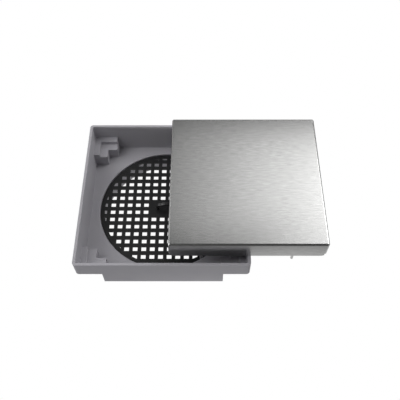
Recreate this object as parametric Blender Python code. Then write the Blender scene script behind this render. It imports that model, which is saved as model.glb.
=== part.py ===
"""Square floor drain: a moulded tray with a round outlet, a lift-out strainer and a lift-off cover.

The tray stands on its outlet collar, and the cover rests on the tray's rim, moved to the right so
that half of the tray shows. The origin is the bottom centre of the whole drain's bounding box,
+X points to the side that the cover hangs over, and +Z points up.
"""

from math import cos, hypot, pi, radians, sin

import bmesh
import bpy

# Tray. Heights are counted from the rim's top face, which is z = 0 in the tray's own frame.
TRAY_SIDE = 0.150
RIM_WIDTH = 0.0025
TRAY_CORNER_RADIUS = 0.003
CAVITY_CORNER_RADIUS = 0.0015
WALL_DRAFT = 0.0012  # how far each inner wall leans in between the rim and the floor
SIDE_DEPTH = 0.0332
FLOOR_DEPTH = 0.0312
CORNER_FACE_DEPTH = 0.0175  # the outer faces are only this tall where the corners are notched

# Stepped supports in the four corners, hollow from below.
SUPPORT_START = 0.0500
OUTER_STEP_EDGE = 0.0663
OUTER_STEP_DEPTH = 0.0151
INNER_STEP_EDGE = 0.0590
INNER_STEP_DEPTH = 0.0188
SUPPORT_WALL = 0.0021

# Round recess, its ledge and the outlet collar.
RECESS_RADIUS = 0.0630
RECESS_CHAMFER = 0.0008
RECESS_WALL = 0.0022
LEDGE_DEPTH = 0.0347
LEDGE_THICKNESS = 0.0023
BORE_RADIUS = 0.0598
COLLAR_RADIUS = 0.0622
COLLAR_DEPTH = 0.0510

# Strainer.
STRAINER_RADIUS = 0.0625
STRAINER_TOP_DEPTH = 0.0328
STRAINER_THICKNESS = 0.0016
HOLE_PITCH = 0.00783
HOLE_SIDE = 0.00485
HOLES_ACROSS = 16
HOLE_FIELD_RADIUS = 0.0588
LEAST_HOLE_OVERLAP = 0.0008  # a hole cut short by the field's edge is left out below this depth
PAD_COLUMNS = 4
PAD_ROWS = 2

# Lifting handle on the strainer's solid pad.
HANDLE_HALF_SPAN = 0.0098
HANDLE_HEIGHT = 0.0088
HANDLE_CROWN = 0.0010
HANDLE_THICKNESS = 0.0024
HANDLE_WIDTH = 0.0044
HANDLE_CORNER_RADIUS = 0.0036
STAKE_RADIUS = 0.0010
STAKE_HEAD_RADIUS = 0.0019
STAKE_HEAD_HEIGHT = 0.0009

# Cover. Heights are counted up from the lower edge of its skirt.
COVER_SIDE = 0.1318
COVER_HEIGHT = 0.0196
COVER_SHIFT = 0.0721
SHEET = 0.0008
COVER_CORNER_RADIUS = 0.0020
COVER_BEND_RADIUS = 0.0014
SKIRT_NOTCH_RADIUS = 0.0050

# Ribbed insert inside the cover, with a foot at each end of each side.
INSERT_LIFT = 0.0020
INSERT_WALL = 0.0022
INSERT_PLATE = 0.0025
RIB = 0.0018
POCKETS_ACROSS = 6
FOOT_RADIUS = 0.0012
FOOT_SPACING = 0.0780
FOOT_INSET = 0.0040
FOOT_LENGTH_BELOW = 0.0122
FOOT_SOCKET_DEPTH = 0.0100
FOOT_BOSS_RADIUS = 0.0028
FOOT_TIP_CHAMFER = 0.0003

GAP = 0.0003  # between pieces that touch
REST_GAP = 0.0002  # under the cover's skirt, where it rests on the rim
PAST = 0.0020  # how far a cutter runs past the face that it opens
ROUND_STEPS = 96
SMALL_ROUND_STEPS = 20
CORNER_STEPS = 5
SMOOTH_ANGLE = radians(35)

TRAY_HALF = TRAY_SIDE / 2
COVER_HALF = COVER_SIDE / 2
TRAY_X = -(COVER_SHIFT + COVER_HALF - TRAY_HALF) / 2
RIM_Z = COLLAR_DEPTH
QUARTERS = ((1, 1), (-1, 1), (-1, -1), (1, -1))


# Scene helpers


def clear_scene():
    for obj in list(bpy.data.objects):
        bpy.data.objects.remove(obj, do_unlink=True)


def make_material(name, colour, roughness, metallic=0.0):
    """A Principled material; colour is linear red, green and blue."""
    made = bpy.data.materials.new(name)
    made.use_nodes = True
    shader = made.node_tree.nodes["Principled BSDF"]
    shader.inputs["Base Color"].default_value = (*colour, 1.0)
    shader.inputs["Roughness"].default_value = roughness
    shader.inputs["Metallic"].default_value = metallic
    return made


def make_frame(name, location):
    """An empty that carries the pieces of one body; it lies on that body's joint axis."""
    frame = bpy.data.objects.new(name, None)
    frame.location = location
    frame.empty_display_size = 0.02
    bpy.context.scene.collection.objects.link(frame)
    return frame


def make_object(name, mesh_source, frame, look=None):
    """Turns a bmesh into an object under a frame, with its normals facing out."""
    bmesh.ops.recalc_face_normals(mesh_source, faces=mesh_source.faces[:])
    mesh = bpy.data.meshes.new(name)
    mesh_source.to_mesh(mesh)
    mesh_source.free()
    mesh.shade_smooth()
    mesh.set_sharp_from_angle(angle=SMOOTH_ANGLE)
    obj = bpy.data.objects.new(name, mesh)
    obj.parent = frame
    bpy.context.scene.collection.objects.link(obj)
    if look is not None:
        mesh.materials.append(look)
    return obj


def combine(target, helper, operation):
    """Adds or cuts a helper object with an exact Boolean, and hides the helper."""
    helper.hide_render = True
    helper.display_type = "WIRE"
    step = target.modifiers.new(helper.name, "BOOLEAN")
    step.operation = operation
    step.object = helper
    step.solver = "EXACT"


# Outlines, as lists of (x, y) in anticlockwise order


def rectangle(x_low, y_low, x_high, y_high):
    return [(x_low, y_low), (x_high, y_low), (x_high, y_high), (x_low, y_high)]


def rounded_square(half, radius):
    """A square with its corners rounded; every call gives the same number of points."""
    centre = half - radius
    points = []
    for quarter, (sign_x, sign_y) in enumerate(QUARTERS):
        for step in range(CORNER_STEPS + 1):
            angle = (quarter + step / CORNER_STEPS) * pi / 2
            points.append((sign_x * centre + radius * cos(angle), sign_y * centre + radius * sin(angle)))
    return points


def circle(radius, steps):
    return [(radius * cos(2 * pi * k / steps), radius * sin(2 * pi * k / steps)) for k in range(steps)]


def corner_bracket(start, edge, reach, sign_x, sign_y):
    """The L-shaped outline of one corner: two legs from `start` to `reach`, inside edge at `edge`."""
    points = [(start, edge), (edge, edge), (edge, start), (reach, start), (reach, reach), (start, reach)]
    points = [(sign_x * x, sign_y * y) for x, y in points]
    return points if sign_x * sign_y < 0 else points[::-1]


# Solids


def add_layers(mesh, layers):
    """Adds one closed solid through outlines at rising heights; layers holds (outline, z)."""
    rings = [[mesh.verts.new((x, y, z)) for x, y in outline] for outline, z in layers]
    mesh.faces.new(rings[0][::-1])
    mesh.faces.new(rings[-1])
    for lower, upper in zip(rings, rings[1:]):
        for k, first in enumerate(lower):
            following = (k + 1) % len(lower)
            mesh.faces.new((first, lower[following], upper[following], upper[k]))


def add_prism(mesh, outline, z_low, z_high):
    add_layers(mesh, [(outline, z_low), (outline, z_high)])


def shifted(outline, x, y):
    return [(x + px, y + py) for px, py in outline]


def solid(name, frame, layers, look=None):
    mesh = bmesh.new()
    add_layers(mesh, layers)
    return make_object(name, mesh, frame, look)


def cylinder(name, frame, radius, z_low, z_high):
    outline = circle(radius, ROUND_STEPS)
    return solid(name, frame, [(outline, z_low), (outline, z_high)])


def corner_brackets(name, frame, start, edge, reach, z_low, z_high):
    """Four L-shaped prisms, one in each corner of the tray."""
    mesh = bmesh.new()
    for sign_x, sign_y in QUARTERS:
        add_prism(mesh, corner_bracket(start, edge, reach, sign_x, sign_y), z_low, z_high)
    return make_object(name, mesh, frame)


# Tray


def build_tray(frame, look):
    outline = rounded_square(TRAY_HALF, TRAY_CORNER_RADIUS)
    tray = solid("tray_body", frame, [(outline, -SIDE_DEPTH), (outline, 0)], look)
    cut_tray_cavity(tray, frame)
    add_corner_supports(tray, frame)
    add_outlet(tray, frame)


def cut_tray_cavity(tray, frame):
    """The open basin, whose walls lean in by the draft from the rim down to the floor."""
    rim_half = TRAY_HALF - RIM_WIDTH
    lean = WALL_DRAFT / FLOOR_DEPTH
    floor = rounded_square(rim_half - WALL_DRAFT, CAVITY_CORNER_RADIUS)
    above = rounded_square(rim_half + PAST * lean, CAVITY_CORNER_RADIUS)
    combine(tray, solid("tray_cavity", frame, [(floor, -FLOOR_DEPTH), (above, PAST)]), "DIFFERENCE")


def add_corner_supports(tray, frame):
    """Two steps in each corner, and the matching notches that keep the wall even underneath."""
    root = (FLOOR_DEPTH + SIDE_DEPTH) / 2
    reach = TRAY_HALF - RIM_WIDTH / 2
    start = SUPPORT_START
    steps = (
        ("outer_step", OUTER_STEP_EDGE, OUTER_STEP_DEPTH, CORNER_FACE_DEPTH),
        ("inner_step", INNER_STEP_EDGE, INNER_STEP_DEPTH, INNER_STEP_DEPTH + SUPPORT_WALL),
    )
    for name, edge, top, _ in steps:
        combine(tray, corner_brackets(name, frame, start, edge, reach, -root, -top), "UNION")
    start += SUPPORT_WALL
    for name, edge, _, ceiling in steps:
        edge += SUPPORT_WALL
        notch = corner_brackets(
            name + "_notch", frame, start, edge, TRAY_HALF + PAST, -SIDE_DEPTH - PAST, -ceiling
        )
        combine(tray, notch, "DIFFERENCE")


def add_outlet(tray, frame):
    """The round recess for the strainer, its ledge and the collar that enters the waste pipe."""
    inside_floor = -(FLOOR_DEPTH + SIDE_DEPTH) / 2
    ledge_bottom = -LEDGE_DEPTH - LEDGE_THICKNESS
    cup = cylinder("recess_cup", frame, RECESS_RADIUS + RECESS_WALL, ledge_bottom, inside_floor)
    collar = cylinder("collar", frame, COLLAR_RADIUS, -COLLAR_DEPTH, -LEDGE_DEPTH - LEDGE_THICKNESS / 2)
    combine(tray, cup, "UNION")
    combine(tray, collar, "UNION")
    straight = circle(RECESS_RADIUS, ROUND_STEPS)
    flared = circle(RECESS_RADIUS + RECESS_CHAMFER + PAST, ROUND_STEPS)
    recess = solid(
        "recess",
        frame,
        [(straight, -LEDGE_DEPTH), (straight, -FLOOR_DEPTH - RECESS_CHAMFER), (flared, -FLOOR_DEPTH + PAST)],
    )
    combine(tray, recess, "DIFFERENCE")
    bore = cylinder("bore", frame, BORE_RADIUS, -COLLAR_DEPTH - PAST, -FLOOR_DEPTH)
    combine(tray, bore, "DIFFERENCE")


# Strainer. Its frame lies on its top face.


def hole_centres():
    """Centres of the square holes: a grid inside the round field, without the pad's cells."""
    half_hole = HOLE_SIDE / 2
    middle = (HOLES_ACROSS - 1) / 2
    centres = []
    for column in range(HOLES_ACROSS):
        for row in range(HOLES_ACROSS):
            x = (column - middle) * HOLE_PITCH
            y = (row - middle) * HOLE_PITCH
            nearest = hypot(max(abs(x) - half_hole, 0), max(abs(y) - half_hole, 0))
            on_pad = abs(column - middle) < PAD_COLUMNS / 2 and abs(row - middle) < PAD_ROWS / 2
            if nearest < HOLE_FIELD_RADIUS - LEAST_HOLE_OVERLAP and not on_pad:
                centres.append((x, y))
    return centres


def build_strainer(frame, look):
    disc = circle(STRAINER_RADIUS, ROUND_STEPS)
    plate = solid("strainer_plate", frame, [(disc, -STRAINER_THICKNESS), (disc, 0)], look)
    half_hole = HOLE_SIDE / 2
    hole = rectangle(-half_hole, -half_hole, half_hole, half_hole)
    mesh = bmesh.new()
    for x, y in hole_centres():
        add_prism(mesh, shifted(hole, x, y), -STRAINER_THICKNESS - PAST, PAST)
    holes = make_object("strainer_holes", mesh, frame)
    field = cylinder("hole_field", frame, HOLE_FIELD_RADIUS, -STRAINER_THICKNESS - 2 * PAST, 2 * PAST)
    combine(holes, field, "INTERSECT")
    combine(plate, holes, "DIFFERENCE")
    mesh = bmesh.new()
    stake_hole = circle(STAKE_RADIUS + GAP, SMALL_ROUND_STEPS)
    for x in stake_places():
        add_prism(mesh, shifted(stake_hole, x, 0), -STRAINER_THICKNESS - PAST, PAST)
    combine(plate, make_object("stake_holes", mesh, frame), "DIFFERENCE")


def stake_places():
    """Where the handle's two stakes pass through the plate, under the middle of each leg."""
    place = HANDLE_HALF_SPAN - HANDLE_THICKNESS / 2
    return (-place, place)


def handle_arch(half_span, height, corner_radius, crown):
    """Half of an arch's outline as (x, z), from its right foot up to the middle of its crown."""
    shoulder = height - crown
    points = [(half_span, 0.0)]
    for step in range(CORNER_STEPS + 2):
        angle = step / (CORNER_STEPS + 1) * pi / 2
        x = half_span - corner_radius + corner_radius * cos(angle)
        points.append((x, shoulder - corner_radius + corner_radius * sin(angle)))
    reach = half_span - corner_radius
    for step in range(1, CORNER_STEPS):
        x = reach * (1 - step / (CORNER_STEPS - 1))
        points.append((x, shoulder + crown * (1 - (x / reach) ** 2)))
    return points


def mirrored_arch(half):
    return half + [(-x, z) for x, z in half[-2::-1]]


def build_handle(frame, look):
    """An arched bar that stands on the pad, with two headed stakes through the plate."""
    outer = handle_arch(HANDLE_HALF_SPAN, HANDLE_HEIGHT, HANDLE_CORNER_RADIUS, HANDLE_CROWN)
    inner = handle_arch(
        HANDLE_HALF_SPAN - HANDLE_THICKNESS,
        HANDLE_HEIGHT - HANDLE_THICKNESS,
        HANDLE_CORNER_RADIUS - HANDLE_THICKNESS / 2,
        HANDLE_CROWN,
    )
    outline = mirrored_arch(outer) + mirrored_arch(inner)[::-1]
    mesh = bmesh.new()
    sides = []
    for y in (-HANDLE_WIDTH / 2, HANDLE_WIDTH / 2):
        sides.append([mesh.verts.new((x, y, GAP + z)) for x, z in outline])
    mesh.faces.new(sides[0])
    mesh.faces.new(sides[1][::-1])
    for k, first in enumerate(sides[0]):
        following = (k + 1) % len(outline)
        mesh.faces.new((first, sides[1][k], sides[1][following], sides[0][following]))
    handle = make_object("strainer_handle", mesh, frame, look)
    head_top = -STRAINER_THICKNESS - GAP
    stem = circle(STAKE_RADIUS, SMALL_ROUND_STEPS)
    head = circle(STAKE_HEAD_RADIUS, SMALL_ROUND_STEPS)
    mesh = bmesh.new()
    for x in stake_places():
        layers = (
            (head, head_top - STAKE_HEAD_HEIGHT),
            (head, head_top),
            (stem, head_top),
            (stem, HANDLE_THICKNESS / 2),
        )
        add_layers(mesh, [(shifted(ring, x, 0), z) for ring, z in layers])
    combine(handle, make_object("handle_stakes", mesh, frame), "UNION")


# Cover. Its frame lies at the centre of its skirt's lower edge.


def domed_box(half, corner_radius, edge_radius, z_low, z_high):
    """Layers of a box with rounded upright corners and a rounded top edge."""
    layers = [(rounded_square(half, corner_radius), z_low)]
    for step in range(CORNER_STEPS + 1):
        angle = step / CORNER_STEPS * pi / 2
        inset = edge_radius * (1 - cos(angle))
        z = z_high - edge_radius * (1 - sin(angle))
        layers.append((rounded_square(half - inset, corner_radius - inset), z))
    return layers


def build_cover_skin(frame, look):
    """The folded sheet: a flat top with a skirt on all four sides."""
    outer = domed_box(COVER_HALF, COVER_CORNER_RADIUS, COVER_BEND_RADIUS, 0, COVER_HEIGHT)
    inner = domed_box(
        COVER_HALF - SHEET,
        COVER_CORNER_RADIUS - SHEET,
        COVER_BEND_RADIUS - SHEET,
        -PAST,
        COVER_HEIGHT - SHEET,
    )
    skin = solid("cover_skin", frame, outer, look)
    combine(skin, solid("skin_hollow", frame, inner), "DIFFERENCE")
    for name, along_x in (("front_back_notches", True), ("side_notches", False)):
        combine(skin, skirt_notches(name, frame, along_x), "DIFFERENCE")


def skirt_notches(name, frame, along_x):
    """Cutters that round the lower corners of two opposite skirt panels."""
    radius = SKIRT_NOTCH_RADIUS
    centre = COVER_HALF - radius
    profile = [(COVER_HALF + PAST, -PAST), (COVER_HALF + PAST, radius)]
    for step in range(CORNER_STEPS + 3):
        angle = step / (CORNER_STEPS + 2) * pi / 2
        profile.append((centre + radius * cos(angle), radius - radius * sin(angle)))
    profile.append((centre, -PAST))
    depths = (COVER_HALF - COVER_CORNER_RADIUS, COVER_HALF + 2 * PAST)
    mesh = bmesh.new()
    for sign_along, sign_across in QUARTERS:
        faces = []
        for depth in depths:
            points = [(sign_along * a, sign_across * depth, z) for a, z in profile]
            if not along_x:
                points = [(y, x, z) for x, y, z in points]
            faces.append([mesh.verts.new(point) for point in points])
        mesh.faces.new(faces[0])
        mesh.faces.new(faces[1][::-1])
        for k, first in enumerate(faces[0]):
            following = (k + 1) % len(profile)
            mesh.faces.new((first, faces[1][k], faces[1][following], faces[0][following]))
    return make_object(name, mesh, frame)


def foot_places():
    """(name, x, y) of the eight feet, two near each side of the cover."""
    across = COVER_HALF - FOOT_INSET
    along = FOOT_SPACING / 2
    places = []
    for side, sign in (("front", -1), ("back", 1)):
        for end, end_sign in (("left", -1), ("right", 1)):
            places.append((f"cover_foot_{side}_{end}", end_sign * along, sign * across))
    for side, sign in (("left", -1), ("right", 1)):
        for end, end_sign in (("front", -1), ("back", 1)):
            places.append((f"cover_foot_{side}_{end}", sign * across, end_sign * along))
    return places


def build_insert(frame, look):
    """A plastic plate under the sheet, with a rim, a grid of ribs and a boss for each foot."""
    half = COVER_HALF - SHEET - GAP
    top = COVER_HEIGHT - SHEET - GAP
    pocket_top = top - INSERT_PLATE
    outline = rounded_square(half, COVER_CORNER_RADIUS - SHEET - GAP)
    insert = solid("cover_insert", frame, [(outline, INSERT_LIFT), (outline, top)], look)
    field = 2 * (half - INSERT_WALL)
    pocket = (field - (POCKETS_ACROSS - 1) * RIB) / POCKETS_ACROSS
    starts = [-field / 2 + k * (pocket + RIB) for k in range(POCKETS_ACROSS)]
    mesh = bmesh.new()
    for x in starts:
        for y in starts:
            add_prism(mesh, rectangle(x, y, x + pocket, y + pocket), INSERT_LIFT - PAST, pocket_top)
    combine(insert, make_object("insert_pockets", mesh, frame), "DIFFERENCE")
    inside_plate = pocket_top + INSERT_PLATE / 2
    bosses = round_posts("foot_bosses", frame, FOOT_BOSS_RADIUS, INSERT_LIFT, inside_plate)
    combine(insert, bosses, "UNION")
    socket_top = INSERT_LIFT + FOOT_SOCKET_DEPTH
    sockets = round_posts("foot_sockets", frame, FOOT_RADIUS + GAP, INSERT_LIFT - PAST, socket_top)
    combine(insert, sockets, "DIFFERENCE")


def round_posts(name, frame, radius, z_low, z_high):
    """One upright post at each foot's place."""
    mesh = bmesh.new()
    for _, x, y in foot_places():
        add_prism(mesh, shifted(circle(radius, SMALL_ROUND_STEPS), x, y), z_low, z_high)
    return make_object(name, mesh, frame)


def build_feet(frame, look):
    """Eight straight pegs; all of them share one mesh."""
    low = -FOOT_LENGTH_BELOW
    high = INSERT_LIFT + FOOT_SOCKET_DEPTH - GAP
    full = circle(FOOT_RADIUS, SMALL_ROUND_STEPS)
    tip = circle(FOOT_RADIUS - FOOT_TIP_CHAMFER, SMALL_ROUND_STEPS)
    shared = None
    for name, x, y in foot_places():
        if shared is None:
            foot = solid(name, frame, [(tip, low), (full, low + FOOT_TIP_CHAMFER), (full, high)], look)
            shared = foot.data
        else:
            foot = bpy.data.objects.new(name, shared)
            foot.parent = frame
            bpy.context.scene.collection.objects.link(foot)
        foot.location = (x, y, 0)


def main():
    clear_scene()
    grey_plastic = make_material("tray_grey", (0.225, 0.225, 0.238), 0.5)
    black_plastic = make_material("strainer_black", (0.012, 0.012, 0.013), 0.42)
    handle_black = make_material("handle_black", (0.010, 0.010, 0.011), 0.22)
    steel = make_material("brushed_steel", (0.60, 0.60, 0.61), 0.3, 1.0)
    insert_plastic = make_material("insert_grey", (0.16, 0.16, 0.165), 0.55)
    foot_metal = make_material("foot_steel", (0.62, 0.62, 0.63), 0.35, 1.0)

    tray_frame = make_frame("tray_frame", (TRAY_X, 0, RIM_Z))
    strainer_frame = make_frame("strainer_frame", (TRAY_X, 0, RIM_Z - STRAINER_TOP_DEPTH))
    cover_frame = make_frame("cover_frame", (TRAY_X + COVER_SHIFT, 0, RIM_Z + REST_GAP))

    build_tray(tray_frame, grey_plastic)
    build_strainer(strainer_frame, black_plastic)
    build_handle(strainer_frame, handle_black)
    build_cover_skin(cover_frame, steel)
    build_insert(cover_frame, insert_plastic)
    build_feet(cover_frame, foot_metal)


main()
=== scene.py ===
"""Finished look of a square floor drain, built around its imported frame.

The drain is a grey moulded tray with a round outlet, a black strainer disc with a small lifting bow,
and a brushed steel cover that rests on the tray's rim, moved to one side. Each sub-assembly is a class
that holds its sizes, builds its meshes and dresses them. Lengths are in metres.
"""

from __future__ import annotations

import logging
from dataclasses import dataclass, field
from enum import Enum
from math import cos, hypot, pi, radians, sin
from typing import Any, Callable, Optional, Sequence

import bmesh
import bpy
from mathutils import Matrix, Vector


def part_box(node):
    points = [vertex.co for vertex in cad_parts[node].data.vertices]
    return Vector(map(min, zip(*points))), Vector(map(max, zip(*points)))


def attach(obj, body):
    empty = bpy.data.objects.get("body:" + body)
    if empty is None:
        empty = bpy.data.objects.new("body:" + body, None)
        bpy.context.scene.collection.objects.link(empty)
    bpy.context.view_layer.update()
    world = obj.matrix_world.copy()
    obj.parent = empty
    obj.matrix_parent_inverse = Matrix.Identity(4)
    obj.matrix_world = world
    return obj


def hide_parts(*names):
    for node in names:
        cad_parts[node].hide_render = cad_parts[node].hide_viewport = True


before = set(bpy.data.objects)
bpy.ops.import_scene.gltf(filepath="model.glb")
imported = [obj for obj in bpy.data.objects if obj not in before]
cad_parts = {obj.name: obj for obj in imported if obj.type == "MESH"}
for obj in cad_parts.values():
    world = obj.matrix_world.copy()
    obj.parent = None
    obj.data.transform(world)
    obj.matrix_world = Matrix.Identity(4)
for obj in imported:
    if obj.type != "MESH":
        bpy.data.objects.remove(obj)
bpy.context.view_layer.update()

LOG = logging.getLogger("floor_drain")

Point = tuple[float, float]
Place = tuple[float, float, float]
Outline = list[Point]
Profile = list[Point]
BMesh = bmesh.types.BMesh
Material = bpy.types.Material
NodeTree = bpy.types.NodeTree
Object = bpy.types.Object

MM = 0.001
PAST = 2 * MM  # how far a cutter runs past the face that it opens
WELD = 0.002 * MM  # points closer than this become one
BEVEL_REACH = 8  # an edge is bevelled when it is longer than this many bevel widths
SMOOTH_ANGLE = radians(38)  # faces that meet flatter than this are shaded as one
BEVEL_ANGLE = radians(50)  # edges sharper than this get a bevel
ROUND_STEPS = 192  # sides of the big circles
PEG_STEPS = 24  # sides of the stakes
FOOT_STEPS = 32  # sides of the feet and what holds them
NOTCH_STEPS = 12  # pieces of the round corners of the skirt
ORIGIN = Vector((0, 0, 0))
PLASTIC_IOR = 1.5
QUARTER_TURN = 0.25
NOISE_RANGE = (0.3, 0.7)  # where nearly all of a noise's values lie
WHITE = (1.0, 1.0, 1.0, 1.0)
QUARTERS = ((1, 1), (-1, 1), (-1, -1), (1, -1))


class Body(Enum):
    """The bodies of the drain that move on their own."""

    TRAY = "tray"
    STRAINER = "strainer"
    COVER = "cover"


class Join(Enum):
    """How a helper solid changes the solid that it meets."""

    ADD = "UNION"
    CUT = "DIFFERENCE"
    KEEP = "INTERSECT"


class Grain(Enum):
    """The direction that a metal was brushed or drawn in."""

    ALONG_X = "along_x"
    ALONG_Z = "along_z"


# Node and mesh helpers


def linear(hex_colour: str) -> tuple[float, float, float, float]:
    """Turns an sRGB hex colour into linear red, green, blue and alpha.

    Args:
        hex_colour: Six hex digits after a hash sign.

    Returns:
        The linear colour, with alpha 1.
    """
    channels = []
    for start in (1, 3, 5):
        value = int(hex_colour[start : start + 2], 16) / 255
        channels.append(value / 12.92 if value <= 0.04045 else ((value + 0.055) / 1.055) ** 2.4)
    return (channels[0], channels[1], channels[2], 1.0)


def add_node(
    tree: NodeTree,
    kind: str,
    settings: Optional[dict[str, Any]] = None,
    inputs: Optional[dict[Any, Any]] = None,
) -> bpy.types.Node:
    """Adds a node, with its settings and its inputs set or linked.

    Args:
        tree: The node tree that gets the node.
        kind: The node's type name.
        settings: Attributes of the node and their values.
        inputs: Input names or numbers, each with a value or the socket that feeds it.

    Returns:
        The new node.
    """
    node = tree.nodes.new(kind)
    for key, value in (settings or {}).items():
        setattr(node, key, value)
    for key, value in (inputs or {}).items():
        if isinstance(value, bpy.types.NodeSocket):
            tree.links.new(value, node.inputs[key])
        else:
            node.inputs[key].default_value = value
    return node


def reckon(tree: NodeTree, operation: str, *terms: Any, kind: str = "ShaderNodeMath") -> Any:
    """Adds a node that works out one value.

    Args:
        tree: The node tree that gets the node.
        operation: The node's operation.
        terms: Its inputs in order, each a value or the socket that feeds it.
        kind: The node's type name.

    Returns:
        The node's first output.
    """
    return add_node(tree, kind, {"operation": operation}, dict(enumerate(terms))).outputs[0]


def ramp(tree: NodeTree, value: Any, reach: Point, ends: Sequence[Any], soft: bool = False) -> Any:
    """Adds a node that maps a value from one range to another.

    Args:
        tree: The node tree that gets the node.
        value: The socket with the value.
        reach: The range that the value comes from.
        ends: The results at both ends of the range, each a value or a socket.
        soft: True to ease in and out.

    Returns:
        The result's socket.
    """
    names = ("Value", "From Min", "From Max", "To Min", "To Max")
    curve = {"interpolation_type": "SMOOTHSTEP" if soft else "LINEAR"}
    given = dict(zip(names, (value, *reach, *ends)))
    return add_node(tree, "ShaderNodeMapRange", curve, given).outputs["Result"]


def rounded_square(half: float, radius: float, steps: int = 8) -> Outline:
    """Outline of a square with round corners, centred on the origin.

    Args:
        half: Half the length of a side.
        radius: Radius of the corners.
        steps: Straight pieces in each corner.

    Returns:
        The outline's points, anticlockwise.
    """
    centre = half - radius
    points = []
    for quarter, (sign_x, sign_y) in enumerate(QUARTERS):
        for step in range(steps + 1):
            angle = (quarter + step / steps) * pi / 2
            points.append((sign_x * centre + radius * cos(angle), sign_y * centre + radius * sin(angle)))
    return points


def circle(radius: float, steps: int) -> Outline:
    """Outline of a circle round the origin, anticlockwise."""
    return [(radius * cos(2 * pi * k / steps), radius * sin(2 * pi * k / steps)) for k in range(steps)]


def corner_rounded(outline: Outline, radius: float, steps: int = 4) -> Outline:
    """Rounds every corner of an outline.

    Args:
        outline: Corner points in order.
        radius: Radius of each corner.
        steps: Straight pieces in each corner.

    Returns:
        The rounded outline, with steps + 1 points for each corner.
    """
    points = []
    count = len(outline)
    for k, corner in enumerate(outline):
        here = Vector(corner)
        back = (Vector(outline[k - 1]) - here).normalized()
        ahead = (Vector(outline[(k + 1) % count]) - here).normalized()
        middle = (back + ahead).normalized()
        half_angle = back.angle(ahead) / 2
        centre = here + middle * radius / sin(half_angle)
        tangent = radius * cos(half_angle) / sin(half_angle)
        first = here + back * tangent - centre
        last = here + ahead * tangent - centre
        sweep = first.angle(last)
        for step in range(steps + 1):
            share = step / steps
            turned = first * sin((1 - share) * sweep) + last * sin(share * sweep)
            point = centre + turned / sin(sweep)
            points.append((point.x, point.y))
    return points


def grown(outline: Outline, distance: float) -> Outline:
    """Moves every side of an anticlockwise outline outwards.

    Args:
        outline: The outline's points.
        distance: How far the sides move, negative for inwards.

    Returns:
        The moved outline, with the same number of points.
    """
    if distance == 0:
        return list(outline)
    points = []
    count = len(outline)
    for k, here in enumerate(outline):
        before = outline[k - 1]
        after = outline[(k + 1) % count]
        normals = []
        for (ax, ay), (bx, by) in ((before, here), (here, after)):
            length = hypot(bx - ax, by - ay)
            normals.append(((by - ay) / length, (ax - bx) / length))
        (ux, uy), (vx, vy) = normals
        scale = distance / (1 + ux * vx + uy * vy)
        points.append((here[0] + (ux + vx) * scale, here[1] + (uy + vy) * scale))
    return points


def quarter_round(start: Point, end: Point, leaves_upright: bool, steps: int = 5) -> Profile:
    """Points of a quarter ellipse between two (offset, height) points of a profile.

    Args:
        start: First point.
        end: Last point.
        leaves_upright: True if the curve is upright at its start and level at its end.
        steps: Straight pieces.

    Returns:
        The points, both ends included.
    """
    points = []
    for step in range(steps + 1):
        angle = step / steps * pi / 2
        slow, fast = 1 - cos(angle), sin(angle)
        share, rise = (slow, fast) if leaves_upright else (fast, slow)
        points.append((start[0] + (end[0] - start[0]) * share, start[1] + (end[1] - start[1]) * rise))
    return points


def add_rings(mesh: BMesh, rings: Sequence[Sequence[Vector]]) -> None:
    """Adds a closed solid that runs through rings of points, with flat ends.

    Args:
        mesh: The mesh that gets the solid.
        rings: The rings in order, each with the same number of points.
    """
    loops = [[mesh.verts.new(point) for point in ring] for ring in rings]
    mesh.faces.new(loops[0][::-1])
    mesh.faces.new(loops[-1])
    for lower, upper in zip(loops, loops[1:]):
        for k, first in enumerate(lower):
            following = (k + 1) % len(lower)
            mesh.faces.new((first, lower[following], upper[following], upper[k]))


def object_from(name: str, mesh_source: BMesh) -> Object:
    """Makes a smooth-shaded object of a bmesh, with its faces pointing out.

    Args:
        name: The object's name.
        mesh_source: The bmesh, which is freed.

    Returns:
        The object, linked to the scene.
    """
    bmesh.ops.recalc_face_normals(mesh_source, faces=mesh_source.faces[:])
    mesh = bpy.data.meshes.new(name)
    mesh_source.to_mesh(mesh)
    mesh_source.free()
    mesh.shade_smooth()
    obj = bpy.data.objects.new(name, mesh)
    bpy.context.scene.collection.objects.link(obj)
    return obj


def lofted(name: str, outlines: Sequence[Outline], profile: Profile, place: Vector) -> Object:
    """Makes closed solids that follow a profile: an outline is grown by each offset at each height.

    Args:
        name: The object's name.
        outlines: Outline of each solid, anticlockwise, as (x, y).
        profile: (offset, height) points, rising.
        place: Origin of the outlines and the heights.

    Returns:
        The solids as one object.
    """
    mesh = bmesh.new()
    for outline in outlines:
        add_rings(mesh, [[place + Vector((x, y, z)) for x, y in grown(outline, by)] for by, z in profile])
    return object_from(name, mesh)


def settle(obj: Object) -> Object:
    """Replaces an object's mesh by its evaluated one and removes the modifiers.

    Args:
        obj: The object with modifiers.

    Returns:
        The same object, as a plain mesh.
    """
    graph = bpy.context.evaluated_depsgraph_get()
    made = bpy.data.meshes.new_from_object(obj.evaluated_get(graph), depsgraph=graph)
    obj.modifiers.clear()
    old = obj.data
    obj.data = made
    bpy.data.meshes.remove(old)
    obj.data.name = obj.name
    return obj


def combine(target: Object, helper: Object, join: Join) -> None:
    """Changes a solid by a helper solid, then deletes the helper.

    Args:
        target: The solid that changes.
        helper: The solid that is used up.
        join: Whether it is added, cut out or all that is kept.
    """
    step = target.modifiers.new("combine", "BOOLEAN")
    step.operation = join.value
    step.object = helper
    step.solver = "EXACT"
    settle(target)
    old = helper.data
    bpy.data.objects.remove(helper, do_unlink=True)
    bpy.data.meshes.remove(old)


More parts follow.
